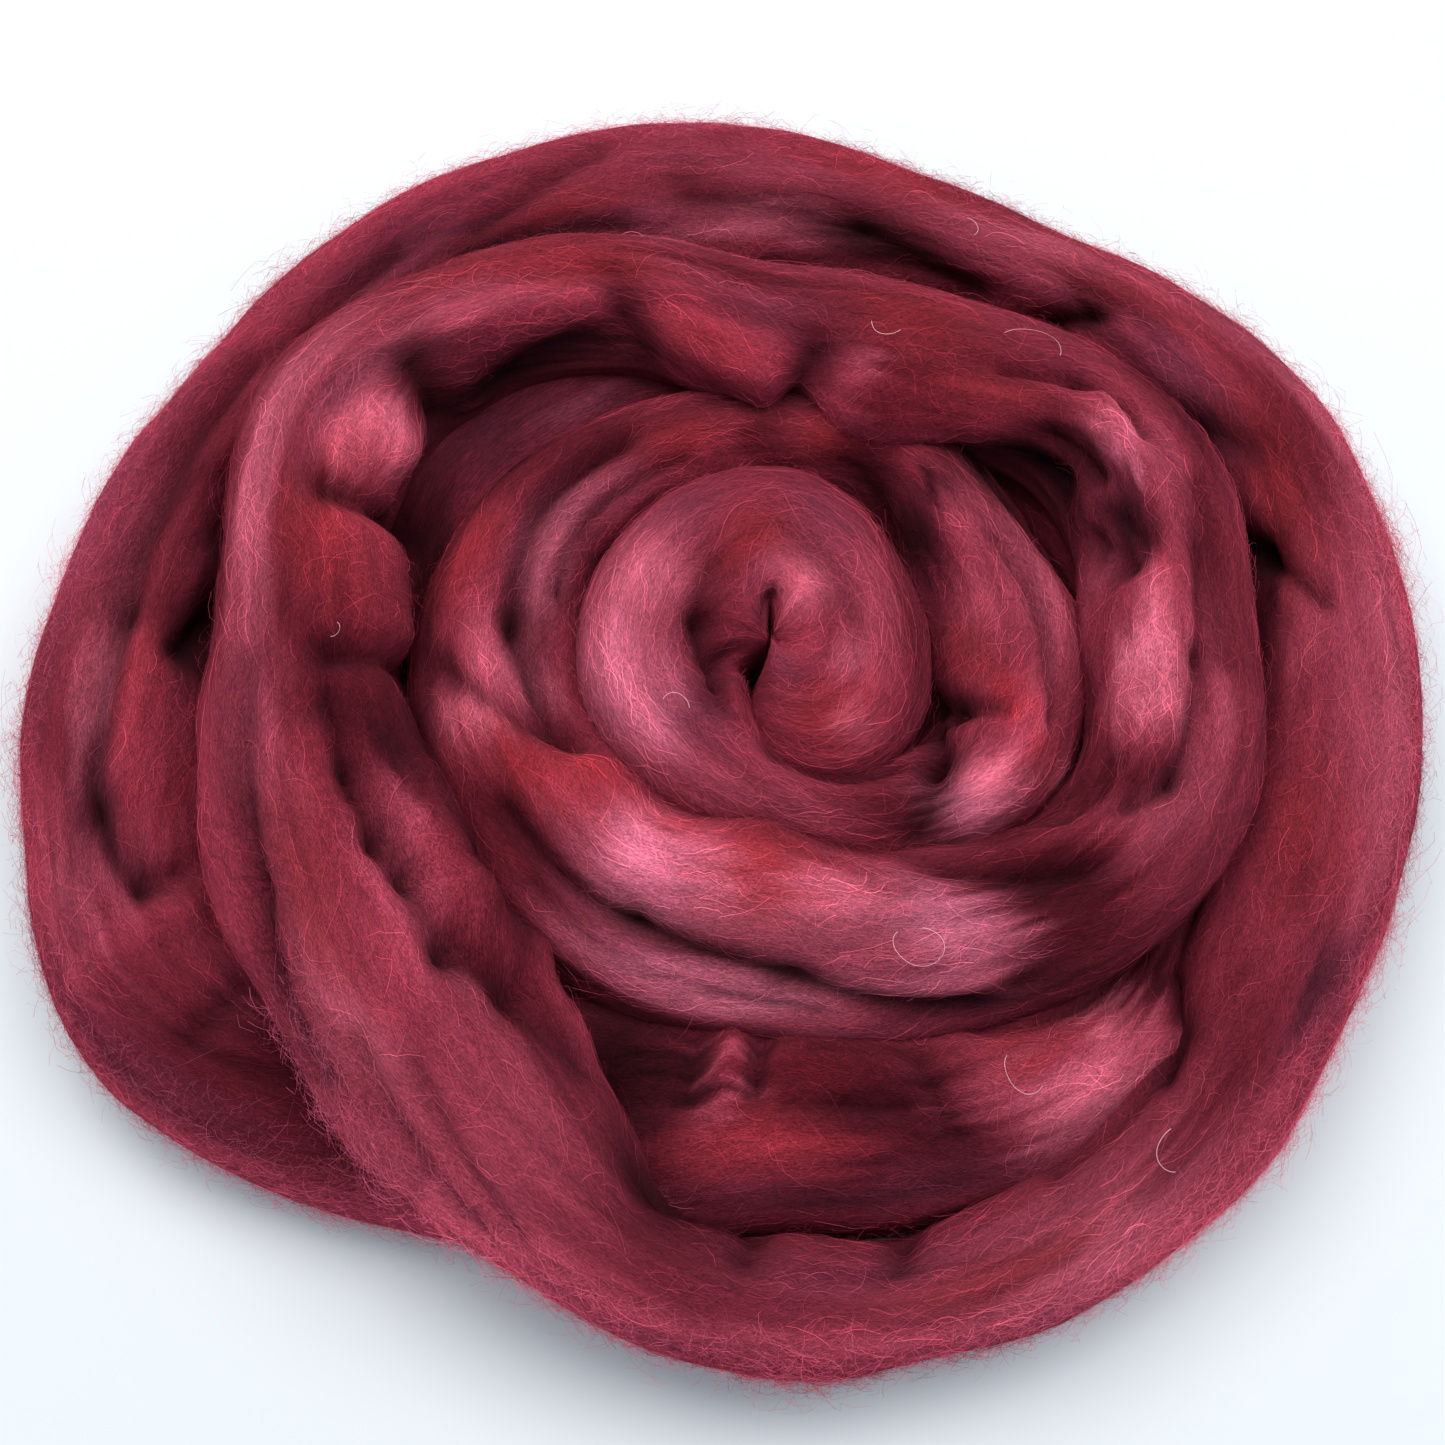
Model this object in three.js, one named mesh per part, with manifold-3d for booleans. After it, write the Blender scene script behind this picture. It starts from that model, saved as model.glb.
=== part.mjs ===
// Wool combed top: one long soft rope of dyed fibre, laid down as a loose coil of nearly five turns.
// Millimetres, +Z up. The coil lies on z = 0 and the origin is under the middle of its box.
import * as THREE from 'three';
import * as BufferGeometryUtils from 'three/addons/utils/BufferGeometryUtils.js';
import Module from 'manifold-3d';

const wasm = await Module();
wasm.setup();

// The eye is the middle of the coil, measured from the origin.
const EYE_X = 18.04;
const EYE_Y = 6.98;
// The innermost wool stops this far from the eye.
const EYE_RADIUS = 1.5;

// One hour is a twelfth of a turn. Hour 0 points from the eye to the front, and hours run counterclockwise.
const HOUR = Math.PI / 6;
const FRONT = -Math.PI / 2;

// The rope is cut across on a ray from the eye at each hour. Under is below zero where it is pressed flat.
// Columns: radius, width, under, top
const FIRST_HOUR = -1;
const CUTS = [
  // inner end and the curl round the eye
  [16, 32, -4, 60],
  [22, 46, -4, 66], [29, 57, -4, 68], [31, 59, -4, 69], [30, 56, -4, 70], [32, 54, -4, 71], [37, 60, -4, 70],
  [45, 62, -4, 69], [40, 71, -4, 69], [39, 70, -4, 68], [40, 67, -4, 67], [43, 57, -4, 67], [46, 56, -4, 66],
  // second turn, which bulges at the right
  [56, 46, -4, 62], [74, 45, -4, 60], [89, 53, -4, 65], [88, 62, -4, 67], [86, 58, -4, 67], [92, 48, -4, 66],
  [90, 43, -4, 66], [93, 47, -4, 66], [100, 55, -4, 66], [102, 66, -4, 67], [102, 71, -4, 69], [105, 76, -4, 71],
  // third turn, which climbs on to the buried end of the rope
  [104, 78, -4, 72], [123, 66, 2, 76], [148, 62, 22, 82], [145, 63, 26, 83], [149, 60, 30, 84],
  [125, 59, 35, 85], [125, 59, 35, 85], [158, 54, 30, 86], [184, 63, 24, 86], [168, 63, 20, 86],
  [171, 86, 30, 88], [193, 84, 38, 86],
  // outer turn, down on the table
  [229.7, 45, -2, 60], [228, 49, -4, 58], [209, 67, -4, 57], [208, 62, -4, 58], [212, 53, -4, 58],
  [195, 39, -4, 58], [203, 68, -4, 58], [216, 66, -4, 58], [224, 65, -4, 58], [238, 71, -4, 58],
  [250, 64, -4, 56], [189, 97, -4, 44],
  // buried turn, back inside under the third one
  [168, 84, -4, 50], [182, 64, -4, 48], [174, 52, -4, 38], [156, 56, -4, 36], [150, 68, -4, 37],
  [140, 70, -4, 38], [133, 72, -4, 40], [142, 80, -4, 44], [150, 82, -4, 42], [142, 58, -4, 36],
];
const LAST_HOUR = FIRST_HOUR + CUTS.length - 1;

// A fold is a crease or a lobe along a short line on the rope, from one hour and angle to another.
// Angles go round the rope in degrees: 0 faces away from the eye, 90 is on top, 180 faces the eye.
// Columns: hour, around, toHour, toAround, reach, rise
const FOLDS = [
  // the curl: its lip rolled in over the eye, and the crease that runs out of it
  [0.4, 140, 4.5, 150, 13, 6], [5, 150, 9, 160, 14, 7], [7.3, 100, 8.6, 114, 8, -5], [8.6, 114, 9.8, 126, 8, -8],
  // the first turn going down under the bulge at the right, and the strand that doubles back above it
  [14.1, 150, 13.7, 118, 8, -9], [13.7, 118, 13.2, 55, 8, -9], [14.3, 90, 13.9, 65, 14, 6],
  [14.42, 165, 14.26, 132, 8, -9], [14.26, 132, 14.31, 92, 7, -6], [16.3, 40, 15.7, 42, 12, -7],
  [17.2, 130, 16.3, 165, 10, -8],
  // left side of the second turn, split in strands
  [19.2, 88, 20.9, 107, 8, -8], [20.9, 107, 22, 128, 8, -8], [21.2, 62, 22, 124, 7, -6], [20.3, 85, 21.6, 84, 12, 5],
  // the long split along the front of the third turn
  [22.2, 70, 23.2, 68, 8, -7], [23.2, 68, 24.1, 52, 8, -9], [24.1, 52, 24.9, 28, 8, -9],
  [22.4, 112, 24.4, 108, 12, 4],
  // right side of the third turn: the hollow, the bright strand and the step to its outer strand
  [25.1, 130, 25.6, 95, 9, -8], [27.3, 76, 26.8, 83, 7, -5], [26.8, 83, 26.2, 90, 7, -7],
  [26.2, 90, 26, 106, 7, -7], [27.15, 104, 26.5, 114, 13, 7], [27.55, 153, 27.25, 121, 7, -7],
  // the hook above it
  [28.15, 92, 27.85, 104, 8, 6], [28.5, 178, 28, 160, 12, -10], [28.2, 132, 27.85, 128, 7, -7],
  // lobes that hang inwards at the back
  [29.35, 162, 28.5, 160, 14, 8], [30.55, 160, 30.1, 158, 15, 9], [29.85, 182, 29.7, 125, 9, -7],
  [30.78, 131, 30.7, 172, 9, -7], [31.4, 178, 31.05, 152, 12, -8], [31.5, 112, 30.95, 118, 9, 5],
  // lobes and notches at the back left
  [32.08, 142, 32.2, 134, 12, 11], [32.62, 150, 33.05, 148, 16, 13], [31.74, 120, 31.8, 178, 9, -9],
  [32.42, 190, 32.45, 112, 9, -9], [33.2, 185, 33.2, 112, 9, -8], [33.9, 140, 34.3, 146, 10, 6],
  // creases down the left, where the third turn leans over the outer one
  [33.75, 107, 34.08, 109, 7, -6], [34.08, 109, 34.28, 117, 8, -7], [34.28, 117, 34.6, 118, 8, -7],
  [34.6, 118, 34.9, 136, 8, -7], [34.9, 136, 35.25, 144, 8, -6], [33.2, 60, 34.6, 38, 8, -5],
  [34.5, 130, 34.9, 158, 8, 5],
  // front of the outer turn
  [35.82, 170, 35.62, 138, 14, -12], [36.4, 155, 36.35, 115, 8, -7],
  // right and back of the outer turn
  [39.55, 178, 39.4, 140, 9, -11], [39.4, 140, 39.15, 100, 7, -6], [40.74, 160, 40.6, 128, 9, -9],
  [41.1, 150, 41.6, 128, 9, -7], [41.6, 128, 42.3, 112, 8, -5], [42.6, 130, 43.2, 118, 8, -5],
  // left of the outer turn, one long crease and a deep pocket
  [44, 76, 44.9, 88, 8, -7], [44.9, 88, 45.5, 91, 8, -7], [45.5, 91, 45.75, 118, 7, -7],
  [44.85, 155, 45, 130, 9, -12], [44.2, 120, 44.6, 130, 8, -6], [45.95, 66, 45.88, 128, 9, 6],
  // front of the buried turn
  [47.8, 116, 47.8, 90, 8, 6], [47.6, 72, 48.3, 70, 13, 6], [48.05, 94, 48.5, 91, 7, -5], [48.6, 115, 48.65, 70, 8, -6],
  [49.1, 84, 49.5, 70, 9, 5],
];

// A cut is fuller than an ellipse, because the wool is pressed by its neighbours.
const FULLNESS = 2.5;
// Each end of the rope rounds off over this length, down to this share of its size.
const END_LENGTH = 16;
const END_SHARE = 0.35;

// Fineness of the surface
const STEP = 16;
const BURIED_STEP = 36;
const BURIED_FROM = 50;
const HOURS_IN_A_PIECE = 7;
const FIRST_ANGLE = -22;
const LAST_ANGLE = 202;
const ANGLES_ON_TOP = 15;
const ANGLES_BELOW = [222, 240, 300, 318];

// Smooth value of a column between the hours
function cutAt(hour, column) {
  const last = CUTS.length - 1;
  const before = Math.min(Math.floor(hour), LAST_HOUR - 1);
  const t = hour - before;
  const [a, b, c, d] = [-1, 0, 1, 2].map(
    (offset) => CUTS[THREE.MathUtils.clamp(before + offset - FIRST_HOUR, 0, last)][column],
  );
  return 0.5 * (2 * b + (c - a) * t + (2 * a - 5 * b + 4 * c - d) * t ** 2 + (3 * b - a - 3 * c + d) * t ** 3);
}

// How far the folds lift or sink the surface at one place
function foldRise(hour, around, radius, girth) {
  let rise = 0;
  for (const [fromHour, fromAround, toHour, toAround, reach, height] of FOLDS) {
    const along = (hour - fromHour) * HOUR * radius;
    const turned = THREE.MathUtils.euclideanModulo(around - fromAround + 180, 360) - 180;
    const across = turned / 360 * girth;
    const runAlong = (toHour - fromHour) * HOUR * radius;
    const runAcross = (toAround - fromAround) / 360 * girth;
    const runSquared = runAlong ** 2 + runAcross ** 2;
    const share = THREE.MathUtils.clamp((along * runAlong + across * runAcross) / runSquared, 0, 1);
    const away = Math.hypot(along - share * runAlong, across - share * runAcross);
    rise += height * Math.exp(-((away / reach) ** 2));
  }
  return rise;
}

// Size of the rope near its two ends, as a share of its full size
function endShare(hour, radius) {
  const toEnd = Math.min(hour - FIRST_HOUR, LAST_HOUR - hour) * HOUR * radius;
  const t = Math.min(toEnd / END_LENGTH, 1);
  return Math.max(END_SHARE, Math.sqrt(1 - (1 - t) ** 2));
}

// One point of the wool's surface
function pointAt(hour, around) {
  const [radius, width, under, top] = [0, 1, 2, 3].map((column) => cutAt(hour, column));
  const cosine = Math.cos(THREE.MathUtils.degToRad(around));
  const sine = Math.sin(THREE.MathUtils.degToRad(around));
  const full = (Math.abs(cosine) ** FULLNESS + Math.abs(sine) ** FULLNESS) ** (-1 / FULLNESS);
  const out = width / 2 * full * cosine;
  const up = (top - under) / 2 * full * sine;
  const girth = Math.PI * (width + top - under) / 2;
  const rise = foldRise(hour, around, radius, girth);
  const scale = (1 + rise / Math.hypot(out, up)) * endShare(hour, radius);
  const direction = FRONT + hour * HOUR;
  const reach = Math.max(EYE_RADIUS, radius + out * scale);
  return new THREE.Vector3(
    EYE_X + reach * Math.cos(direction),
    EYE_Y + reach * Math.sin(direction),
    Math.max(0, (top + under) / 2 + up * scale),
  );
}

// The angles at which each ring has its points, closer together on the side that shows
function ringAngles() {
  const spread = (LAST_ANGLE - FIRST_ANGLE) / (ANGLES_ON_TOP - 1);
  const above = Array.from({ length: ANGLES_ON_TOP }, (_, index) => FIRST_ANGLE + index * spread);
  return [...above, ...ANGLES_BELOW];
}

// Hours of the rings of one piece of rope, about a step apart along the rope
function ringHours(from, to) {
  const hours = [from];
  for (let hour = from; hour < to; hour += 1) {
    const step = hour < BURIED_FROM ? STEP : BURIED_STEP;
    const steps = Math.max(2, Math.round(cutAt(hour + 0.5, 0) * HOUR / step));
    for (let count = 1; count <= steps; count += 1) {
      hours.push(hour + count / steps);
    }
  }
  return hours;
}

// A closed tube of wool between two hours, with a flat face at each end
function ropePiece(from, to) {
  const angles = ringAngles();
  const rings = ringHours(from, to).map((hour) => angles.map((around) => pointAt(hour, around)));
  const count = angles.length;
  const points = rings.flat();
  const triangles = [];
  for (let ring = 0; ring < rings.length - 1; ring += 1) {
    for (let place = 0; place < count; place += 1) {
      const next = (place + 1) % count;
      const [a, b] = [ring * count + place, ring * count + next];
      const [c, d] = [a + count, b + count];
      triangles.push(a, d, b, a, c, d);
    }
  }
  [0, rings.length - 1].forEach((ring) => {
    const middle = points.length;
    points.push(rings[ring].reduce((sum, p) => sum.add(p), new THREE.Vector3()).divideScalar(count));
    for (let place = 0; place < count; place += 1) {
      const [a, b] = [ring * count + place, ring * count + (place + 1) % count];
      triangles.push(...(ring === 0 ? [middle, a, b] : [middle, b, a]));
    }
  });
  const geometry = new THREE.BufferGeometry().setFromPoints(points);
  geometry.setIndex(triangles);
  return geometry;
}

function toSolid(geometry) {
  const merged = BufferGeometryUtils.mergeVertices(geometry);
  return new wasm.Manifold(new wasm.Mesh({
    numProp: 3,
    vertProperties: merged.attributes.position.array,
    triVerts: new Uint32Array(merged.index.array),
  }));
}

// The outer skin of a solid. A hollow that the turns close in on every side is left filled with wool.
function toGeometry(solid) {
  const mesh = solid.getMesh();
  const places = new THREE.BufferAttribute(mesh.vertProperties, 3);
  const joinedTo = Array.from({ length: places.count }, (_, point) => point);
  const shellOf = (point) => {
    let shell = point;
    while (joinedTo[shell] !== shell) {
      joinedTo[shell] = joinedTo[joinedTo[shell]];
      shell = joinedTo[shell];
    }
    return shell;
  };
  for (let corner = 0; corner < mesh.triVerts.length; corner += 3) {
    const [a, b, c] = mesh.triVerts.slice(corner, corner + 3);
    joinedTo[shellOf(a)] = shellOf(b);
    joinedTo[shellOf(b)] = shellOf(c);
  }
  let farthest = 0;
  for (let point = 1; point < places.count; point += 1) {
    if (places.getX(point) > places.getX(farthest)) {
      farthest = point;
    }
  }
  const skin = shellOf(farthest);
  const numberOf = new Map();
  const points = [];
  const triangles = [];
  for (const point of mesh.triVerts) {
    if (shellOf(point) !== skin) {
      continue;
    }
    if (!numberOf.has(point)) {
      numberOf.set(point, points.length);
      points.push(new THREE.Vector3().fromBufferAttribute(places, point));
    }
    triangles.push(numberOf.get(point));
  }
  const geometry = new THREE.BufferGeometry().setFromPoints(points);
  geometry.setIndex(triangles);
  return geometry;
}

// The whole rope: its pieces joined end to end, and to the turns that they press against
function combedTop() {
  let wool = null;
  for (let hour = FIRST_HOUR; hour < LAST_HOUR; hour += HOURS_IN_A_PIECE) {
    const piece = toSolid(ropePiece(hour, Math.min(hour + HOURS_IN_A_PIECE, LAST_HOUR)));
    wool = wool === null ? piece : wool.add(piece);
  }
  return toGeometry(wool);
}

const dyedWool = new THREE.MeshStandardMaterial({ color: 0xa6364f, roughness: 0.95, metalness: 0 });

const coil = new THREE.Group();
const wool = new THREE.Mesh(combedTop(), dyedWool);
wool.name = 'combed_top';
coil.add(wool);

export default coil;
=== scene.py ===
import math

import bmesh
import bpy
import numpy as np
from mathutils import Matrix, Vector


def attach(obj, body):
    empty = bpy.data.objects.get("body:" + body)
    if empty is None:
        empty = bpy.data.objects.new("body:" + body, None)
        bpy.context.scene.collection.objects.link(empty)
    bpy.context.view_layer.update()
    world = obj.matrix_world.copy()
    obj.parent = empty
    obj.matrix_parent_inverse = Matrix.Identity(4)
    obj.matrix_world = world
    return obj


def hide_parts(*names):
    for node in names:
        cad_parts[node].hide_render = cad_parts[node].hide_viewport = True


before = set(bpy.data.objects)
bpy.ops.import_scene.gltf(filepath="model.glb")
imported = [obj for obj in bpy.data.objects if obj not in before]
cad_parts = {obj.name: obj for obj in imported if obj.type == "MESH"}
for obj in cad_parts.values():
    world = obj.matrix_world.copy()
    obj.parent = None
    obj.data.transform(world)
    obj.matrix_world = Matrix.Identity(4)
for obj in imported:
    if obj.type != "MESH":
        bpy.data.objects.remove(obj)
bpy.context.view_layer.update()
scene = bpy.context.scene

# Camera
# It looks down steeply on the coil from the front, from about arm's length.
MM = 0.001
CAMERA_TARGET = Vector((0.54, -16.73, 35)) * MM
CAMERA_DISTANCE = 734 * MM
CAMERA_ELEVATION = math.radians(70)
CAMERA_LENS = 49.45
CAMERA_NEAREST = 10 * MM

camera_data = bpy.data.cameras.new("camera")
camera_data.lens = CAMERA_LENS
camera_data.clip_start = CAMERA_NEAREST
camera = bpy.data.objects.new("camera", camera_data)
camera.location = CAMERA_TARGET + CAMERA_DISTANCE * Vector(
    (0, -math.cos(CAMERA_ELEVATION), math.sin(CAMERA_ELEVATION))
)
camera.rotation_euler = (math.pi / 2 - CAMERA_ELEVATION, 0, 0)
scene.collection.objects.link(camera)
scene.camera = camera

# The rope
# One length of combed wool, about four metres, laid down by hand as a loose coil of nearly five turns.
# It is cut across on a ray from the eye at each hour, a twelfth of a turn, counterclockwise from the front.
EYE = np.array([18.04, 6.98]) * MM
EYE_RADIUS = 1.5 * MM
HOUR = math.pi / 6
FRONT = -math.pi / 2
# A cut is an ellipse at 2 and squarer above it
FULLNESS = 2.5
# Each end is rounded off over this length
END_LENGTH = 16 * MM
FIRST_HOUR = -1
# Radius is from the eye to the middle of the rope; under and top are heights over the table. In millimetres.
RADIUS, WIDTH, UNDER, TOP = range(4)
CUTS = MM * np.array([
    # inner end and the curl round the eye
    [16, 32, -4, 60], [22, 46, -4, 66], [29, 57, -4, 68], [31, 59, -4, 69], [30, 56, -4, 70],
    [32, 54, -4, 71], [37, 60, -4, 70], [45, 62, -4, 69], [40, 71, -4, 69], [39, 70, -4, 68],
    [40, 67, -4, 67], [43, 57, -4, 67], [46, 56, -4, 66],
    # second turn, which bulges at the right
    [56, 46, -4, 62], [74, 45, -4, 60], [89, 53, -4, 65], [88, 62, -4, 67], [86, 58, -4, 67],
    [92, 48, -4, 66], [90, 43, -4, 66], [93, 47, -4, 66], [100, 55, -4, 66], [102, 66, -4, 67],
    [102, 71, -4, 69], [105, 76, -4, 71],
    # third turn, which climbs on to the buried end of the rope
    [104, 78, -4, 72], [123, 66, 2, 76], [148, 62, 22, 82], [145, 63, 26, 83], [149, 60, 30, 84],
    [125, 59, 35, 85], [125, 59, 35, 85], [158, 54, 30, 86], [184, 63, 24, 86], [168, 63, 20, 86],
    [171, 86, 30, 88], [193, 84, 38, 86],
    # outer turn, down on the table
    [229.7, 45, -2, 60], [228, 49, -4, 58], [209, 67, -4, 57], [208, 62, -4, 58], [212, 53, -4, 58],
    [195, 39, -4, 58], [203, 68, -4, 58], [216, 66, -4, 58], [224, 65, -4, 58], [238, 71, -4, 58],
    [250, 64, -4, 56], [189, 97, -4, 44],
    # buried turn, back inside under the third one
    [168, 84, -4, 50], [182, 64, -4, 48], [174, 52, -4, 38], [156, 56, -4, 36], [150, 68, -4, 37],
    [140, 70, -4, 38], [133, 72, -4, 40], [142, 80, -4, 44], [150, 82, -4, 42], [142, 58, -4, 36],
])
LAST_HOUR = FIRST_HOUR + len(CUTS) - 1
# A fold is a crease or a lobe along a short line, from one hour and angle to another. Angles go round the
# rope in degrees: 0 faces away from the eye, 90 is on top, 180 faces the eye. Reach is how far a fold
# spreads to each side and rise how far it lifts the wool, or sinks it, both in millimetres.
# Columns: hour, around, to hour, to around, reach, rise
FOLDS = np.array([
    # the curl: its lip rolled in over the eye, the slit above the eye, the crease that runs out of it
    [0.4, 140, 4.5, 150, 13, 6], [5, 150, 9, 160, 14, 7], [6, 178, 6, 150, 3, -8],
    [4.6, 128, 6.2, 128, 5, 3], [7.3, 100, 8.6, 114, 6, -5], [8.6, 114, 9.8, 126, 6, -8],
    [5.9, 141, 7.4, 145, 3, -5], [9.4, 141, 10.4, 126, 5, -7], [10.4, 126, 10.9, 120, 4, -6],
    [12.0, 118, 13.4, 134, 4, -6], [3.2, 95, 5.6, 100, 5, -2], [0.2, 60, 1.4, 60, 14, 4],
    # the first turn going down under the bulge at the right, and the strand that doubles back above it
    [14.1, 150, 13.7, 118, 6, -10], [13.7, 118, 13.2, 55, 6, -10], [14.3, 90, 13.9, 65, 14, 6],
    [14.42, 165, 14.26, 132, 6, -10], [14.26, 132, 14.31, 92, 4, -8], [14.4, 62, 15.8, 82, 4, -5],
    [16.3, 40, 15.7, 42, 12, -7], [15.2, 105, 16.6, 100, 10, 4], [17.2, 130, 16.3, 165, 10, -8],
    # left side of the second turn, split in strands
    [19.2, 88, 20.9, 107, 6, -9], [20.9, 107, 22, 128, 6, -9], [21.2, 62, 22, 124, 5, -7],
    [18.8, 125, 20.6, 132, 5, -5], [20.3, 85, 21.6, 84, 12, 5],
    # the long split along the front of the third turn
    [22.2, 70, 23.2, 68, 5, -8], [23.2, 68, 24.1, 52, 5, -10], [24.1, 52, 24.9, 28, 5, -10],
    [22.4, 112, 24.4, 108, 12, 4], [24.2, 92, 25.4, 84, 4, -1.2], [22.6, 55, 24.2, 34, 4, -4],
    # right side of the third turn: the dark hollow, the bright strand and the step to its outer strand
    [25.1, 130, 25.6, 95, 8, -9], [27.3, 76, 26.8, 83, 4, -5], [26.8, 83, 26.2, 90, 4, -7],
    [26.2, 90, 26.0, 106, 5, -7], [27.15, 104, 26.5, 114, 13, 7], [27.55, 153, 27.3, 124, 7, -7],
    [27.3, 124, 27.4, 112, 6, -4], [26.2, 132, 25.8, 138, 5, -5], [27.6, 66, 26.8, 62, 5, -4],
    # the hook above it and the strand line that runs into the back
    [28.6, 101, 28.28, 85, 3, -5], [28.28, 85, 28.05, 80, 3, -6], [28.05, 80, 27.9, 86, 3, -6],
    [28.15, 92, 27.85, 104, 6, 7], [28.5, 178, 28, 160, 12, -12], [28.2, 132, 27.85, 128, 5, -9],
    [27.6, 126, 27.45, 116, 5, -7],
    # lobes that hang inwards at the back
    [29.35, 162, 28.5, 160, 14, 8], [30.55, 160, 30.1, 158, 15, 9], [29.85, 182, 29.7, 125, 8, -9],
    [29.7, 125, 29.5, 98, 6, -3], [30.3, 108, 29.7, 106, 4, -3], [30.76, 95, 30.78, 131, 7, -3],
    [30.78, 131, 30.7, 172, 9, -8], [31.4, 178, 31.05, 152, 12, -8], [31.5, 112, 30.95, 118, 9, 5],
    # lobes and notches at the back left
    [32.08, 142, 32.2, 134, 12, 11], [32.62, 150, 33.05, 148, 16, 13], [32.42, 190, 32.45, 112, 6, -11],
    [33.2, 185, 33.2, 112, 6, -10], [31.74, 120, 31.8, 178, 8, -11], [33.9, 140, 34.3, 146, 10, 6],
    # creases down the left, where the third turn leans over the outer one
    [33.38, 108, 33.75, 107, 3, -6], [33.41, 101, 33.86, 104, 3, -4], [33.75, 107, 34.08, 109, 4, -7],
    [34.08, 109, 34.28, 117, 5, -9], [34.28, 117, 34.6, 118, 5, -9], [34.6, 118, 34.9, 136, 6, -8],
    [34.9, 136, 35.25, 144, 6, -7], [33.7, 51, 34.0, 44, 3, -3], [34.0, 44, 34.55, 29, 4, -6],
    [34.8, 75, 35.3, 50, 3, -4], [34.6, 62, 35.2, 38, 3, -4], [34.5, 130, 34.9, 158, 8, 5],
    [34.1, 128, 34.6, 134, 6, 4], [33.3, 8, 34.0, 8, 15, 4.5], [33.6, 96, 34.6, 92, 10, 4],
    [33.2, 60, 34.6, 38, 5, -5], [34.3, 128, 35.2, 158, 9, 5],
    # front of the outer turn
    [35.82, 170, 35.62, 138, 14, -14], [35.95, 150, 35.9, 112, 6, -6], [36.4, 155, 36.35, 115, 6, -7],
    [36.9, 140, 37.5, 130, 6, -5],
    # right and back of the outer turn
    [39.55, 178, 39.4, 140, 9, -13], [39.4, 140, 39.15, 100, 4, -7], [40.74, 160, 40.6, 128, 7, -11],
    [40.6, 128, 40.72, 108, 5, -4], [40, 150, 39.8, 120, 8, -5], [41.1, 150, 41.6, 128, 9, -7],
    [41.6, 128, 42.3, 112, 6, -5], [42.6, 130, 43.2, 118, 6, -5], [42.6, 70, 43.1, 105, 6, -5],
    [43.4, 88, 43.9, 96, 7, -6],
    # left of the outer turn, one long crease and a deep pocket
    [44, 76, 44.9, 88, 6, -7], [44.9, 88, 45.5, 91, 6, -8], [45.5, 91, 45.75, 118, 5, -8],
    [45.75, 118, 45.72, 150, 5, -6], [44.85, 155, 45.0, 130, 9, -13], [44.2, 120, 44.6, 130, 8, -6],
    [45.0, 112, 45.4, 112, 9, 5], [45.3, 180, 46.0, 180, 18, 13], [45.95, 66, 45.88, 128, 9, 6],
    [46.2, 80, 46.15, 130, 5, -5], [43.95, 108, 44.3, 106, 8, 5],
    # front of the buried turn
    [47.8, 116, 47.8, 90, 6, 6], [47.95, 125, 47.92, 98, 4, -8], [47.65, 118, 47.67, 94, 5, -6],
    [47.6, 72, 48.3, 70, 13, 6], [48.05, 94, 48.5, 91, 4, -6], [37.6, 152, 37.35, 128, 5, -6],
    [48.6, 115, 48.65, 70, 5, -6], [48.9, 106, 49.2, 100, 10, 4], [49.1, 84, 49.5, 70, 9, 5],
    [48.9, 130, 49.6, 112, 5, -5],
])
# Power of the fall at the edge of a lobe and of a crease: the higher, the rounder
LOBE_EDGE = 2
CREASE_EDGE = 1.4
# Low forms of the wool: height in millimetres, seed, how many along the rope, how many round it. The first
# one bends the strands by degrees instead.
WANDER = (26, 11, 60, 6)
STRANDS = (1.9, 12, 70, 17)
FINE_STRANDS = (0.7, 13, 170, 50)
SWELLINGS = (2.4, 14, 90, 6)


def cut_at(hour, column):
    """Smooth value of one column of the cuts between the hours."""
    values = CUTS[:, column]
    before = np.clip(np.floor(hour).astype(int), FIRST_HOUR, LAST_HOUR - 1)
    t = hour - before
    a, b, c, d = (values[np.clip(before + step - FIRST_HOUR, 0, len(CUTS) - 1)] for step in (-1, 0, 1, 2))
    return 0.5 * (
        2 * b + (c - a) * t + (2 * a - 5 * b + 4 * c - d) * t**2 + (3 * b - a - 3 * c + d) * t**3
    )


def soft_noise(size, seed, cells_along, cells_around, hour, around):
    """Smooth seeded values up to a size either way, on a lattice along the rope that closes round it."""
    lattice = np.random.default_rng(seed).uniform(-1, 1, (cells_along + 2, cells_around))
    along = np.clip(along_share(hour), 0, 1) * cells_along
    across = (around / 360 % 1) * cells_around
    i = np.floor(along).astype(int)
    j = np.floor(across).astype(int)
    u = (along - i) ** 2 * (3 - 2 * (along - i))
    v = (across - j) ** 2 * (3 - 2 * (across - j))
    j, k = j % cells_around, (j + 1) % cells_around
    near = lattice[i, j] * (1 - v) + lattice[i, k] * v
    far = lattice[i + 1, j] * (1 - v) + lattice[i + 1, k] * v
    return size * (near * (1 - u) + far * u)


# Length of the rope from its inner end to each tenth of an hour
TENTHS = np.linspace(FIRST_HOUR, LAST_HOUR, (LAST_HOUR - FIRST_HOUR) * 10 + 1)
LENGTHS = np.concatenate([[0], np.cumsum(np.diff(TENTHS) * HOUR * cut_at(TENTHS[1:], RADIUS))])


def along_share(hour):
    """Share of the rope's length that lies before an hour."""
    return np.interp(hour, TENTHS, LENGTHS) / LENGTHS[-1]


def hour_along(share):
    """Hour at a share of the rope's length."""
    return np.interp(share * LENGTHS[-1], LENGTHS, TENTHS)


def girth_at(hour):
    """Length round the rope."""
    return math.pi * (cut_at(hour, WIDTH) + cut_at(hour, TOP) - cut_at(hour, UNDER)) / 2


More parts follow.
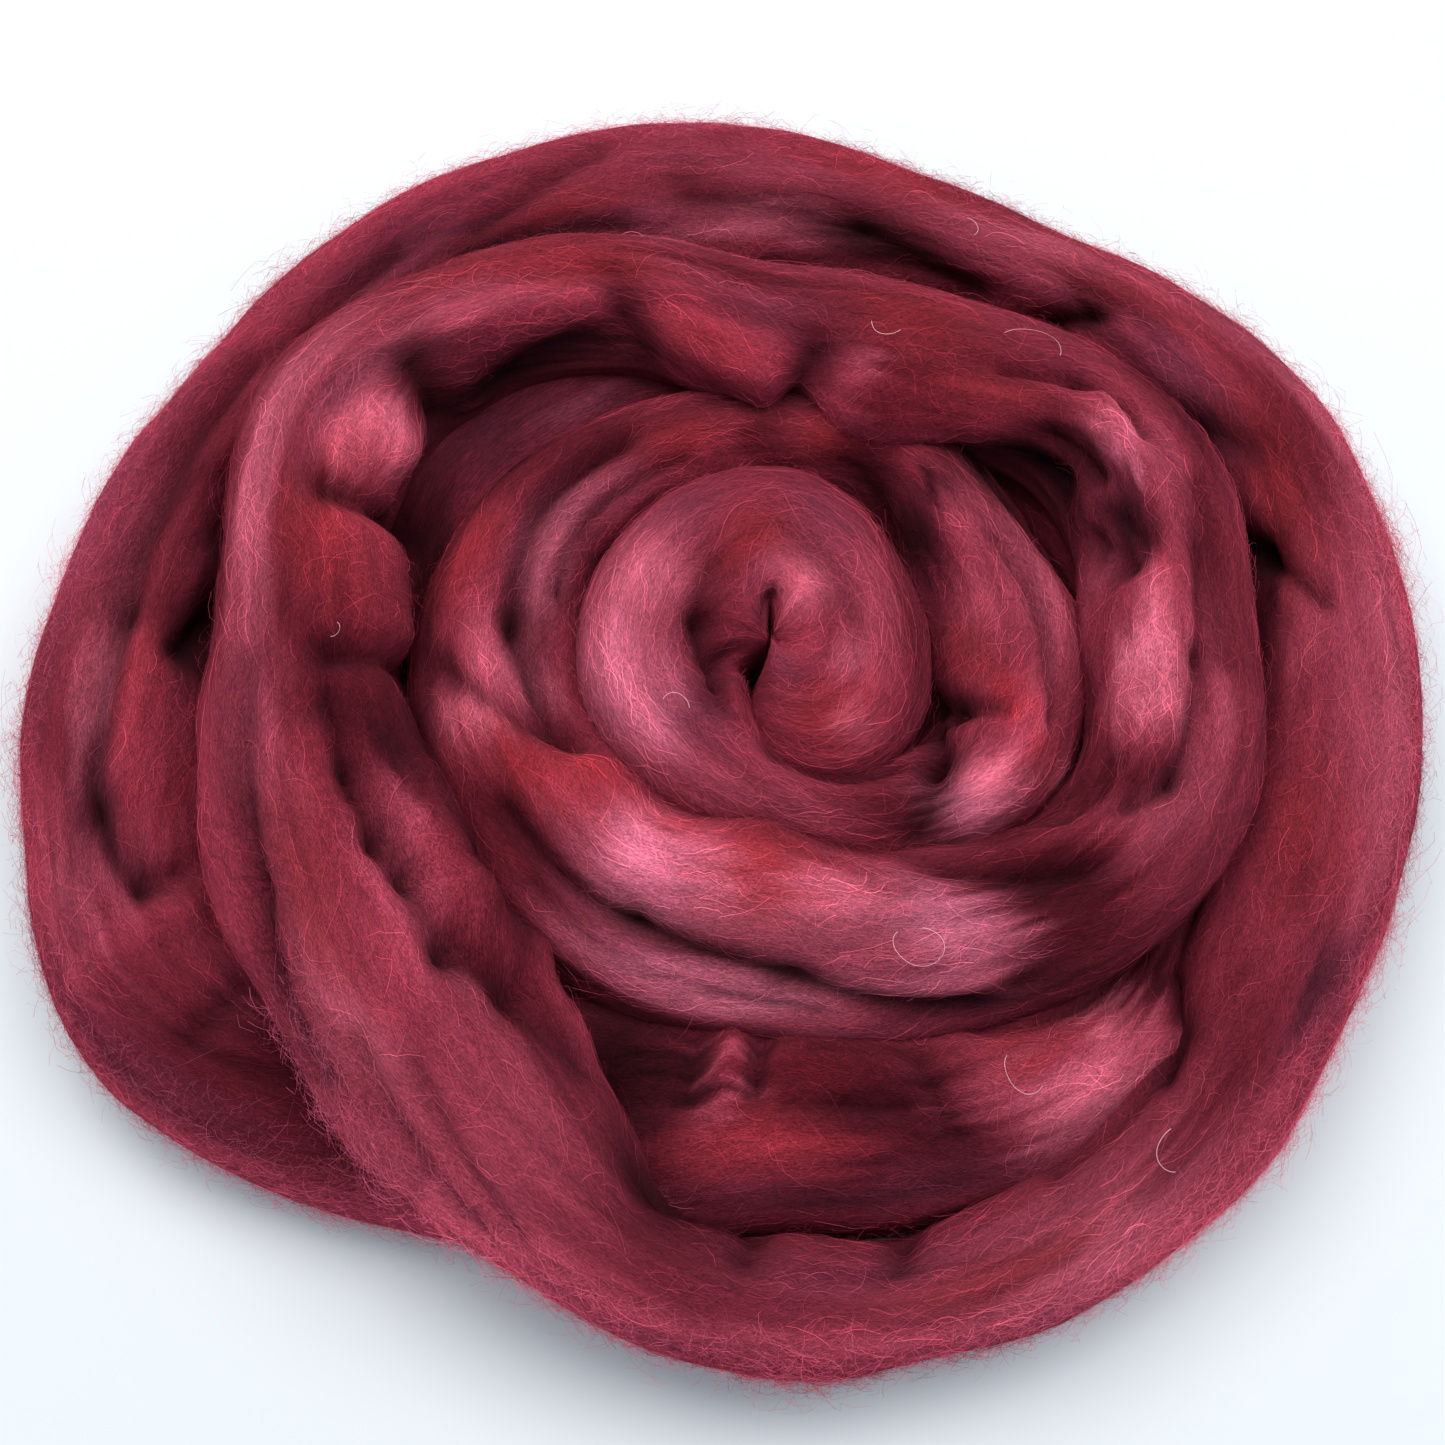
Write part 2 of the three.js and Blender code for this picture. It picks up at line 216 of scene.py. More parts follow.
def turned(around, from_around):
    """Angle from one place on the rope's side to another, the shorter way, in degrees."""
    return (around - from_around + 180) % 360 - 180


def fold_rise(hour, around):
    """How far the folds lift or sink the surface. Lobes have round edges and creases sharp ones."""
    radius = cut_at(hour, RADIUS)
    girth = girth_at(hour)
    rise = np.zeros(np.broadcast(hour, around).shape)
    for from_hour, from_around, to_hour, to_around, reach, height in FOLDS:
        along = (hour - from_hour) * HOUR * radius
        across = turned(around, from_around) / 360 * girth
        run_along = (to_hour - from_hour) * HOUR * radius
        run_across = (to_around - from_around) / 360 * girth
        run_squared = run_along**2 + run_across**2
        share = np.clip((along * run_along + across * run_across) / run_squared, 0, 1)
        away = np.hypot(along - share * run_along, across - share * run_across)
        edge = LOBE_EDGE if height > 0 else CREASE_EDGE
        rise += height * MM * np.exp(-((away / (reach * MM)) ** edge))
    return rise


def strand_rise(hour, around):
    """Low ridges where the combed fibres gather in strands, and soft swellings of the whole rope."""
    bent = around + soft_noise(*WANDER, hour, around)
    strands = soft_noise(*STRANDS, hour, bent) + soft_noise(*FINE_STRANDS, hour, bent)
    return (strands + soft_noise(*SWELLINGS, hour, around)) * MM


def wool_surface(hour, around, lift=0.0):
    """Points of the wool's surface, or of a layer that much above it."""
    radius, width, under, top = (cut_at(hour, column) for column in range(4))
    cosine, sine = np.cos(np.radians(around)), np.sin(np.radians(around))
    full = (np.abs(cosine) ** FULLNESS + np.abs(sine) ** FULLNESS) ** (-1 / FULLNESS)
    out = width / 2 * full * cosine
    up = (top - under) / 2 * full * sine
    rise = fold_rise(hour, around) + strand_rise(hour, around) + lift
    to_end = np.minimum(hour - FIRST_HOUR, LAST_HOUR - hour) * HOUR * radius
    rounding = np.sqrt(np.clip(1 - (1 - np.minimum(to_end / END_LENGTH, 1)) ** 2, 0, 1))
    scale = (1 + rise / np.hypot(out, up)) * rounding
    direction = FRONT + hour * HOUR
    reach = np.maximum(EYE_RADIUS, radius + out * scale)
    height = np.maximum(0, (top + under) / 2 + up * scale)
    return np.stack([EYE[0] + reach * np.cos(direction), EYE[1] + reach * np.sin(direction), height], -1)


# Dye, painted shade and painted light
# The rope is dyed by hand in one bath, so pink, rose, brick and wine run into each other along the fibres.
SHADES = {
    "pink": (0.68, 0.138, 0.215),
    "rose": (0.57, 0.100, 0.153),
    "dusky": (0.42, 0.060, 0.098),
    "madder": (0.29, 0.031, 0.054),
    "brick": (0.33, 0.027, 0.038),
    "red": (0.44, 0.028, 0.036),
    "mauve": (0.23, 0.037, 0.066),
    "wine": (0.145, 0.012, 0.021),
    "plum": (0.11, 0.015, 0.030),
    # The darkest one is no dye: it paints shade into hollows and crevices
    "painted_hollow_shade": (0.04, 0.004, 0.008),
}
# Rows in the darkest shade are painted shade in hollows, crevices and low between the turns
# Columns: hour, around, reach along in hours, reach around in degrees, strength, shade
DYE_AND_SHADE_PATCHES = [
    # broad tones under the others
    (23.7, 92, 0.9, 26, 0.6, "rose"), (24.4, 54, 0.6, 16, 1.0, "rose"), (22.9, 50, 0.3, 12, 0.7, "dusky"),
    (33.2, 122, 0.6, 34, 0.6, "wine"), (31.3, 60, 0.6, 16, 0.5, "brick"), (33.7, 84, 0.7, 20, 0.35, "wine"),
    (29.0, 124, 0.45, 26, 0.8, "wine"), (48.2, 84, 0.5, 30, 0.9, "wine"), (21.3, 48, 0.9, 14, 0.9, "painted_hollow_shade"),
    (34.6, 146, 0.5, 14, 0.9, "wine"), (36.85, 66, 0.4, 44, 0.8, "rose"),
    (33.8, 142, 0.4, 22, 0.95, "wine"), (33.7, 162, 0.4, 14, 0.8, "painted_hollow_shade"), (19.8, 52, 0.5, 14, 0.9, "painted_hollow_shade"),
    (46.6, 60, 0.25, 60, 0.9, "wine"), (32.6, 44, 0.6, 12, 0.6, "wine"), (3.2, 44, 0.8, 14, 0.8, "wine"),
    (15.3, 66, 0.5, 12, 0.8, "rose"), (41.9, 112, 0.5, 14, 0.6, "dusky"),
    (40.9, 104, 0.5, 24, 0.5, "dusky"), (35.1, 28, 0.6, 20, 0.5, "dusky"),
    # the curl
    (4.9, 116, 1.1, 22, 0.8, "rose"), (6.4, 136, 0.8, 16, 0.7, "mauve"), (6.4, 100, 0.9, 18, 0.8, "brick"),
    (3.6, 76, 1.2, 30, 0.6, "dusky"), (1.0, 72, 0.7, 30, 0.7, "brick"), (1.3, 58, 0.3, 14, 0.5, "rose"),
    (2.2, 92, 0.5, 18, 0.5, "rose"), (0.6, 110, 0.6, 20, 0.6, "mauve"), (5.2, 70, 0.7, 26, 0.6, "mauve"),
    # first turn
    (7.1, 62, 0.6, 26, 0.6, "mauve"), (8.1, 72, 0.6, 26, 0.9, "rose"), (8.6, 118, 1.0, 16, 0.8, "wine"),
    (9.4, 60, 0.9, 30, 0.85, "pink"), (10.3, 72, 0.7, 26, 0.65, "pink"), (10.8, 104, 0.6, 16, 0.8, "plum"),
    (11.4, 62, 0.5, 30, 0.8, "dusky"), (12.2, 80, 0.5, 30, 0.6, "dusky"), (13.2, 80, 0.45, 40, 0.8, "wine"),
    (12.6, 42, 0.8, 16, 0.7, "wine"),
    # the bulge and the right side
    (13.72, 74, 0.24, 30, 0.95, "rose"), (13.5, 68, 0.2, 28, 0.8, "pink"),
    (14.9, 118, 0.4, 15, 0.8, "brick"), (14.52, 97, 0.16, 12, 0.9, "brick"),
    (14.38, 78, 0.1, 12, 0.6, "red"), (14.2, 60, 0.1, 10, 0.8, "brick"), (14.75, 66, 0.5, 12, 0.8, "dusky"),
    (14.15, 30, 0.12, 14, 0.8, "rose"), (16.05, 46, 0.3, 12, 1.0, "painted_hollow_shade"), (15.6, 74, 0.6, 22, 0.9, "dusky"),
    (15.2, 110, 0.4, 14, 0.7, "dusky"), (16.3, 84, 0.4, 24, 0.7, "dusky"), (16.2, 132, 0.6, 20, 1.0, "painted_hollow_shade"),
    (14.6, 150, 0.5, 20, 1.0, "wine"), (17.0, 120, 0.4, 26, 0.9, "wine"), (16.7, 76, 0.3, 22, 0.7, "wine"),
    (16.45, 103, 0.22, 16, 0.95, "painted_hollow_shade"),
    # back and left of the second turn
    (17.5, 112, 0.3, 22, 0.8, "brick"), (18.1, 112, 0.25, 26, 0.9, "wine"), (17.9, 70, 0.8, 18, 0.8, "painted_hollow_shade"),
    (18.8, 105, 0.4, 24, 0.7, "brick"), (19.5, 124, 0.5, 14, 0.7, "dusky"),
    (20.3, 118, 0.6, 12, 0.9, "rose"), (20.2, 94, 0.6, 12, 0.8, "mauve"), (20.5, 72, 0.4, 20, 0.8, "brick"),
    (21.6, 76, 0.2, 14, 0.9, "rose"), (21.25, 100, 0.25, 14, 0.9, "rose"),
    (21.4, 120, 0.2, 12, 0.8, "rose"), (20.0, 110, 0.5, 9, 0.8, "rose"), (20.4, 120, 0.5, 8, 0.9, "rose"),
    (21.5, 96, 0.3, 16, 0.8, "dusky"), (19.4, 72, 0.6, 16, 0.8, "wine"), (20.9, 40, 0.6, 16, 0.9, "wine"),
    # front of the third turn
    (22.05, 88, 0.35, 22, 0.9, "brick"), (22.4, 118, 0.4, 18, 0.8, "brick"),
    (22.3, 58, 0.5, 14, 0.8, "wine"), (23.8, 96, 0.5, 16, 0.7, "rose"), (24.0, 124, 0.5, 12, 0.6, "brick"),
    (23.9, 108, 0.24, 24, 0.9, "brick"), (23.1, 101, 0.3, 28, 1.0, "pink"),
    (23.5, 46, 0.45, 13, 0.9, "pink"), (24.5, 100, 0.3, 20, 0.7, "rose"),
    (24.93, 84, 0.22, 30, 1.0, "pink"), (25.44, 90, 0.15, 44, 1.0, "wine"),
    (25.36, 72, 0.12, 24, 0.5, "painted_hollow_shade"), (23.3, 130, 0.3, 10, 0.6, "brick"), (25.1, 60, 0.3, 18, 0.7, "rose"),
    (23.7, 66, 0.7, 6, 0.5, "plum"), (23.85, 37, 0.45, 14, 1.0, "rose"), (23.9, 36, 0.3, 10, 0.6, "pink"),
    (24.3, 66, 0.5, 10, 0.6, "dusky"), (24.9, 28, 0.3, 10, 0.9, "plum"), (24.5, 150, 0.6, 12, 0.9, "wine"),
    # right side of the third turn
    (25.55, 100, 0.25, 50, 1.0, "wine"), (25.42, 74, 0.16, 26, 0.7, "painted_hollow_shade"),
    (26.1, 76, 0.35, 14, 0.8, "dusky"), (27.1, 104, 0.16, 12, 0.6, "rose"),
    (26.8, 110, 0.2, 18, 1.0, "rose"), (26.52, 112, 0.14, 24, 0.9, "rose"),
    (26.78, 112, 0.14, 14, 0.5, "pink"), (26.12, 122, 0.12, 26, 0.95, "wine"),
    (27.3, 152, 0.2, 14, 0.6, "dusky"), (26.6, 68, 0.4, 10, 0.8, "dusky"),
    (25.95, 96, 0.14, 16, 0.7, "dusky"), (27.4, 70, 0.3, 14, 0.6, "wine"),
    (26.0, 150, 0.4, 14, 0.9, "wine"), (27.58, 124, 0.16, 20, 1.0, "plum"),
    (28.15, 166, 0.5, 20, 1.0, "painted_hollow_shade"), (16.6, 46, 0.4, 14, 0.9, "painted_hollow_shade"), (25.4, 55, 0.2, 40, 1.0, "wine"),
    (25.22, 36, 0.14, 14, 0.9, "painted_hollow_shade"), (27.9, 46, 0.25, 14, 0.8, "wine"), (27.15, 50, 0.4, 13, 0.6, "wine"),
    # the hook and the back
    (28.0, 96, 0.12, 12, 0.9, "rose"), (27.84, 106, 0.07, 10, 0.6, "pink"),
    (28.7, 140, 0.4, 14, 0.8, "wine"), (27.8, 84, 0.4, 10, 0.7, "dusky"),
    (28.6, 112, 0.4, 14, 0.6, "brick"), (29.2, 82, 0.4, 22, 0.8, "brick"),
    (29.0, 118, 0.3, 14, 0.8, "wine"), (29.4, 122, 0.1, 14, 0.8, "dusky"),
    (29.1, 144, 0.16, 12, 0.8, "wine"), (30.4, 84, 0.4, 8, 0.6, "dusky"), (30.0, 96, 0.3, 14, 0.5, "mauve"),
    (30.4, 130, 0.35, 18, 0.5, "brick"), (30.9, 84, 0.4, 18, 0.8, "brick"),
    (30.1, 66, 0.6, 12, 0.7, "wine"), (30.5, 158, 0.4, 16, 0.7, "wine"), (31.1, 160, 0.3, 20, 1.0, "plum"),
    (31.4, 100, 0.35, 14, 0.7, "dusky"), (31.5, 182, 0.4, 16, 1.0, "painted_hollow_shade"),
    # lobes at the back left
    (32.12, 134, 0.16, 28, 0.85, "rose"), (31.85, 100, 0.3, 14, 0.6, "rose"),
    (32.35, 112, 0.14, 14, 0.6, "rose"), (31.7, 90, 0.3, 12, 0.6, "dusky"),
    (32.4, 62, 0.7, 14, 0.9, "rose"), (32.1, 98, 0.25, 10, 0.6, "mauve"),
    (32.65, 112, 0.3, 24, 0.8, "brick"), (33.1, 126, 0.3, 22, 0.8, "wine"),
    (33.2, 100, 0.3, 18, 0.6, "wine"), (33.9, 92, 0.5, 24, 0.4, "wine"), (33.6, 128, 0.3, 20, 0.9, "wine"),
    (34.02, 122, 0.16, 7, 0.8, "dusky"), (33.5, 66, 0.7, 14, 0.7, "dusky"),
    (33.6, 134, 0.3, 20, 0.8, "wine"), (33.7, 130, 0.35, 16, 0.8, "painted_hollow_shade"),
    # left and front left
    (34.3, 106, 0.3, 12, 0.5, "dusky"), (34.1, 70, 0.4, 12, 0.5, "brick"),
    (34.7, 116, 0.3, 14, 0.7, "dusky"), (34.75, 130, 0.4, 10, 0.9, "wine"),
    (34.5, 152, 0.5, 13, 0.95, "painted_hollow_shade"), (35.2, 98, 0.3, 20, 0.6, "dusky"), (35.3, 60, 0.3, 20, 0.6, "dusky"),
    (35.1, 34, 0.6, 14, 0.6, "dusky"), (34.6, 52, 0.5, 10, 0.3, "wine"), (34.6, 64, 0.35, 14, 0.5, "rose"),
    (35.7, 110, 0.25, 30, 0.6, "wine"),
    # front and right of the outer turn
    (36.3, 100, 0.4, 24, 0.5, "mauve"), (36.2, 52, 0.6, 14, 0.5, "dusky"),
    (36.6, 80, 0.3, 18, 0.6, "brick"), (37.0, 112, 0.3, 20, 0.5, "dusky"), (38.8, 55, 0.8, 16, 0.5, "rose"),
    (39.9, 58, 0.6, 16, 0.5, "rose"), (37.5, 90, 0.3, 22, 0.7, "wine"), (37.9, 62, 0.18, 16, 0.95, "plum"),
    (37.55, 150, 0.15, 20, 0.9, "painted_hollow_shade"), (37.6, 130, 0.3, 20, 0.7, "wine"),
    (38.3, 100, 0.3, 26, 0.5, "brick"), (38.7, 78, 0.4, 16, 0.6, "dusky"),
    (38.6, 135, 0.4, 16, 0.7, "wine"), (39.2, 92, 0.3, 26, 0.5, "dusky"),
    (39.05, 118, 0.16, 16, 0.7, "dusky"), (39.45, 160, 0.18, 22, 1.0, "painted_hollow_shade"),
    (39.15, 142, 0.25, 14, 0.9, "painted_hollow_shade"), (39.6, 112, 0.4, 26, 0.7, "brick"),
    (39.8, 84, 0.4, 20, 0.7, "wine"), (40.0, 140, 0.3, 18, 0.9, "plum"),
    (40.3, 122, 0.28, 16, 0.8, "mauve"), (40.8, 116, 0.14, 12, 0.7, "dusky"),
    (40.6, 96, 0.3, 20, 0.5, "brick"),
    # back of the outer turn
    (41.1, 92, 0.25, 20, 0.6, "dusky"), (41.5, 135, 0.3, 24, 1.0, "painted_hollow_shade"),
    (41.7, 112, 0.25, 16, 0.7, "wine"), (41.4, 66, 0.4, 18, 0.6, "brick"),
    (42.1, 134, 0.4, 10, 0.8, "rose"), (42.05, 116, 0.35, 8, 0.8, "rose"), (40.9, 80, 0.4, 14, 0.5, "rose"),
    (42.3, 108, 0.3, 14, 0.7, "wine"), (42.1, 84, 0.4, 12, 0.5, "dusky"),
    (42.7, 132, 0.3, 14, 0.8, "mauve"), (42.9, 110, 0.3, 14, 0.7, "brick"),
    (43.1, 128, 0.25, 14, 0.9, "plum"), (43.3, 86, 0.3, 22, 0.8, "plum"),
    (43.6, 104, 0.3, 14, 0.6, "dusky"), (43.9, 78, 0.3, 16, 0.6, "madder"),
    # left of the outer turn
    (44.3, 86, 0.3, 14, 0.9, "wine"), (44.3, 112, 0.25, 20, 0.8, "wine"), (44.7, 80, 0.4, 12, 0.7, "dusky"),
    (44.6, 52, 0.5, 16, 0.6, "mauve"), (44.9, 134, 0.4, 22, 1.0, "painted_hollow_shade"), (45.1, 104, 0.4, 14, 0.4, "brick"),
    (45.6, 138, 0.2, 14, 0.8, "wine"), (45.3, 70, 0.3, 18, 0.6, "wine"), (45.5, 96, 0.3, 10, 0.7, "plum"),
    (45.17, 86, 0.25, 9, 0.9, "rose"), (45.85, 52, 0.15, 20, 0.5, "wine"),
    (45.7, 72, 0.25, 18, 0.7, "dusky"), (45.7, 90, 0.1, 36, 0.8, "dusky"), (46.1, 90, 0.2, 34, 0.5, "wine"),
    (46.45, 92, 0.25, 34, 1.0, "wine"), (45.2, 128, 0.3, 12, 0.6, "madder"),
    (46.3, 48, 0.4, 18, 0.8, "plum"), (46.8, 60, 0.4, 24, 0.7, "wine"), (46.8, 110, 0.5, 34, 1.0, "painted_hollow_shade"),
    # outer side of the outer turn, low down
    (36.4, 2, 0.5, 20, 0.6, "wine"), (37.6, 0, 0.6, 22, 0.6, "rose"), (38.6, 0, 0.5, 22, 0.7, "wine"),
    (40.1, 0, 0.7, 22, 0.6, "brick"), (41.4, 2, 0.6, 24, 0.7, "wine"), (42.5, 0, 0.5, 26, 0.7, "pink"),
    (43.5, 4, 0.6, 22, 0.7, "wine"), (44.6, 0, 0.6, 24, 0.6, "rose"), (45.7, 2, 0.5, 22, 0.7, "wine"),
    (46.6, 0, 0.5, 24, 0.5, "dusky"), (32.0, 20, 0.6, 20, 0.6, "wine"), (30.6, 24, 0.6, 18, 0.6, "rose"),
    # the buried turn where it shows
    (47.35, 100, 0.3, 60, 1.0, "painted_hollow_shade"), (47.6, 80, 0.14, 40, 0.9, "painted_hollow_shade"),
    (47.95, 70, 0.28, 18, 0.5, "brick"), (47.8, 102, 0.05, 16, 0.9, "dusky"),
    (48.2, 108, 0.3, 13, 1.0, "wine"), (49.64, 80, 0.13, 60, 1.0, "painted_hollow_shade"), (48.6, 83, 0.25, 40, 0.9, "wine"),
    (48.42, 80, 0.2, 34, 0.6, "painted_hollow_shade"), (48.4, 48, 0.9, 14, 0.9, "plum"), (48.9, 92, 0.2, 22, 0.7, "dusky"),
    (49.0, 108, 0.2, 14, 0.5, "brick"), (49.16, 68, 0.18, 18, 1.0, "rose"),
    (49.04, 64, 0.14, 16, 0.8, "rose"), (49.44, 64, 0.08, 12, 0.6, "dusky"),
    (49.6, 110, 0.2, 24, 0.7, "wine"), (49.4, 94, 0.11, 16, 0.9, "rose"), (50.5, 90, 0.8, 60, 0.8, "wine"),
    (52.0, 90, 1.2, 90, 0.8, "wine"), (54.6, 90, 1.0, 60, 0.8, "wine"), (55.1, 112, 0.35, 14, 0.9, "mauve"),
    (55.7, 96, 0.4, 34, 0.9, "plum"), (56.4, 100, 0.4, 60, 1.0, "painted_hollow_shade"),

]
BASE_SHADE = "madder"
# The edges of the patches wander, by hours along the rope and by degrees round it.
# Columns: size, seed, how many along the rope, how many round it
RAGGED_ALONG = ((0.12, 21, 90, 80), (0.07, 22, 200, 160))
RAGGED_AROUND = ((7, 25, 160, 30), (4, 26, 60, 90))
MOTTLE = ((0.22, 23, 70, 14), (0.18, 24, 170, 70))
# Painted shade darkens the creases, by this much for each millimetre down to the deepest, and painted light
# lightens the lobes
PAINTED_FOLD_SHADE = 0.13
DEEPEST_FOLD = -12
HIGHEST_FOLD = 2
# Painted shade deep between the turns: from this share of the height down, darker by up to this share
GAP_FROM = 0.78
PAINTED_GAP_SHADE = 0.84
GAP_EDGE = 0.7
# The open outer side of the outer turn has no such gap, and a painted light lightens its colour, most where
# it faces straight out, down to the place that turns under (the sine of its angle)
OUTER_TURN = (35, 47.5)
PAINTED_RIM_LIGHT = 0.6
RIM_LOWEST = -0.6
MIDDLE_TONE = np.array([0.34, 0.042, 0.070])
TONE_CONTRAST = 1.28


def dye_and_shade_at(hour, around):
    """Linear colour: the dye, streaked along the fibres where one shade meets the next, with painted shade
    in creases and gaps and painted light on lobes and the open rim.
    """
    ragged_along = sum(soft_noise(*rag, hour, around) for rag in RAGGED_ALONG)
    ragged_around = sum(soft_noise(*rag, hour, around) for rag in RAGGED_AROUND)
    colour = np.empty(np.broadcast(hour, around).shape + (3,))
    colour[...] = SHADES[BASE_SHADE]
    for at_hour, at_around, reach_along, reach_around, strength, shade in DYE_AND_SHADE_PATCHES:
        near = np.abs(hour - at_hour) < 3 * reach_along + 0.4
        along = (hour[near] + ragged_along[near] - at_hour) / reach_along
        across = turned(around[near] + ragged_around[near], at_around) / reach_around
        weight = strength * np.exp(-(along**2) - across**2)[..., None]
        colour[near] = colour[near] * (1 - weight) + np.array(SHADES[shade]) * weight
    # Painted shade in the creases and painted light on the lobes
    painted_shade_and_light = np.exp(PAINTED_FOLD_SHADE * np.clip(fold_rise(hour, around) / MM, DEEPEST_FOLD, HIGHEST_FOLD))
    height = wool_surface(hour, around)[..., 2] / cut_at(hour, TOP)
    cosine, sine = np.cos(np.radians(around)), np.sin(np.radians(around))
    open_side = (hour > OUTER_TURN[0]) & (hour < OUTER_TURN[1]) & (cosine > 0)
    # Painted shade low between the turns, except on the open outer side
    gap = np.clip((GAP_FROM - height) / GAP_FROM, 0, 1) ** GAP_EDGE * ~open_side
    painted_shade_and_light *= 1 - PAINTED_GAP_SHADE * gap
    # Painted light on the open outer side of the outer turn
    rim_light = 1 + PAINTED_RIM_LIGHT * open_side * cosine**2 * (sine > RIM_LOWEST)
    mottle = 1 + sum(soft_noise(*spots, hour, around) for spots in MOTTLE)
    colour = MIDDLE_TONE * (colour / MIDDLE_TONE) ** TONE_CONTRAST
    return colour * (mottle * painted_shade_and_light * rim_light)[..., None]


# The fine curly grain of combed wool: threads follow the level lines of three drawn-out noises.
# Columns: how many round the rope, how many along all of it, place in the noise
THREADS = ((120, 330, 0.0), (210, 640, 3.1), (340, 1200, 7.7))
# From one thread to the next, as a step of the noise's value
THREAD_WIDTH = 0.07
# Shade between the threads and on them
THREAD_SHADES = (0.55, 1.42)
wool_grain = bpy.data.node_groups.new("wool grain", "ShaderNodeTree")
wool_grain.interface.new_socket("Flow", in_out="INPUT", socket_type="NodeSocketVector")
wool_grain.interface.new_socket("Fineness", in_out="INPUT", socket_type="NodeSocketFloat")
wool_grain.interface.new_socket("Shade", in_out="OUTPUT", socket_type="NodeSocketFloat")
wool_grain.interface.new_socket("Height", in_out="OUTPUT", socket_type="NodeSocketFloat")
grain_in = wool_grain.nodes.new("NodeGroupInput")
grain_out = wool_grain.nodes.new("NodeGroupOutput")
threads = None
for across_scale, along_scale, offset in THREADS:
    stretch = wool_grain.nodes.new("ShaderNodeMapping")
    stretch.inputs["Location"].default_value = (offset, offset, 0)
    stretch.inputs["Scale"].default_value = (along_scale, across_scale, 1)
    noise = wool_grain.nodes.new("ShaderNodeTexNoise")
    noise.inputs["Detail"].default_value = 2.5
    noise.inputs["Roughness"].default_value = 0.6
    noise.inputs["Distortion"].default_value = 0.5
    level = wool_grain.nodes.new("ShaderNodeMath")
    level.operation = "PINGPONG"
    level.inputs[1].default_value = THREAD_WIDTH
    share = wool_grain.nodes.new("ShaderNodeMath")
    share.operation = "MULTIPLY"
    share.inputs[1].default_value = 1 / THREAD_WIDTH / len(THREADS)
    wool_grain.links.new(grain_in.outputs["Flow"], stretch.inputs["Vector"])
    wool_grain.links.new(grain_in.outputs["Fineness"], noise.inputs["Scale"])
    wool_grain.links.new(stretch.outputs["Vector"], noise.inputs["Vector"])
    wool_grain.links.new(noise.outputs["Fac"], level.inputs[0])
    wool_grain.links.new(level.outputs["Value"], share.inputs[0])
    if threads is None:
        threads = share
    else:
        total = wool_grain.nodes.new("ShaderNodeMath")
        wool_grain.links.new(threads.outputs["Value"], total.inputs[0])
        wool_grain.links.new(share.outputs["Value"], total.inputs[1])
        threads = total
thread_shade = wool_grain.nodes.new("ShaderNodeMapRange")
thread_shade.inputs["From Min"].default_value = 0.2
thread_shade.inputs["From Max"].default_value = 0.8
thread_shade.inputs["To Min"].default_value, thread_shade.inputs["To Max"].default_value = THREAD_SHADES
wool_grain.links.new(threads.outputs["Value"], thread_shade.inputs["Value"])
wool_grain.links.new(thread_shade.outputs["Result"], grain_out.inputs["Shade"])
wool_grain.links.new(threads.outputs["Value"], grain_out.inputs["Height"])


def wool_material(name, streaks):
    """Matt combed wool: the dye, with its painted shade and light, from the piece's own colours, with or
    without the fine grain.
    """
    material = bpy.data.materials.new(name)
    material.use_nodes = True
    tree = material.node_tree
    shader = tree.nodes["Principled BSDF"]
    shader.inputs["Roughness"].default_value = 1.0
    shader.inputs["Specular IOR Level"].default_value = 0.02
    shader.inputs["Sheen Weight"].default_value = 0.035
    shader.inputs["Sheen Roughness"].default_value = 0.5
    shader.inputs["Sheen Tint"].default_value = (1.0, 0.45, 0.58, 1)
    dye_and_shade = tree.nodes.new("ShaderNodeAttribute")
    dye_and_shade.attribute_name = "dye_and_shade"
    if not streaks:
        tree.links.new(dye_and_shade.outputs["Color"], shader.inputs["Base Color"])
        return material
    flow = tree.nodes.new("ShaderNodeUVMap")
    flow.uv_map = "flow"
    grain = tree.nodes.new("ShaderNodeGroup")
    grain.node_tree = wool_grain
    grain.inputs["Fineness"].default_value = 1.0
    tint = tree.nodes.new("ShaderNodeVectorMath")
    tint.operation = "SCALE"
    bump = tree.nodes.new("ShaderNodeBump")
    bump.inputs["Strength"].default_value = 0.9
    bump.inputs["Distance"].default_value = 0.6 * MM
    tree.links.new(flow.outputs["UV"], grain.inputs["Flow"])
    tree.links.new(dye_and_shade.outputs["Color"], tint.inputs[0])
    tree.links.new(grain.outputs["Shade"], tint.inputs["Scale"])
    tree.links.new(tint.outputs["Vector"], shader.inputs["Base Color"])
    tree.links.new(grain.outputs["Height"], bump.inputs["Height"])
    tree.links.new(bump.outputs["Normal"], shader.inputs["Normal"])
    return material


def colour_mesh(mesh, colours):
    """Write one colour for each vertex: the dye, with any painted shade and light in it."""
    layer = mesh.color_attributes.new("dye_and_shade", "FLOAT_COLOR", "POINT")
    layer.data.foreach_set("color", np.concatenate([colours, np.ones((len(colours), 1))], 1).ravel())


# Body of the rope
# The wound form that carries the fibres, swept along the coil in one closed skin.
RINGS = 1200
PLACES = 80
# The turn that is buried under the others carries few rings: share of the rings, share of the length
RING_SHARES = [0, 0.93, 1]
LENGTH_SHARES = [0, 0.86, 1]
# The underside carries few places round the rope: share of the places, angle
PLACE_SHARES = [0, 0.85, 1]
PLACE_ANGLES = [-30, 210, 330]
# Points closer than this are one, where the skin closes low on its outer side and at the two ends
JOIN_DISTANCE = 0.02 * MM

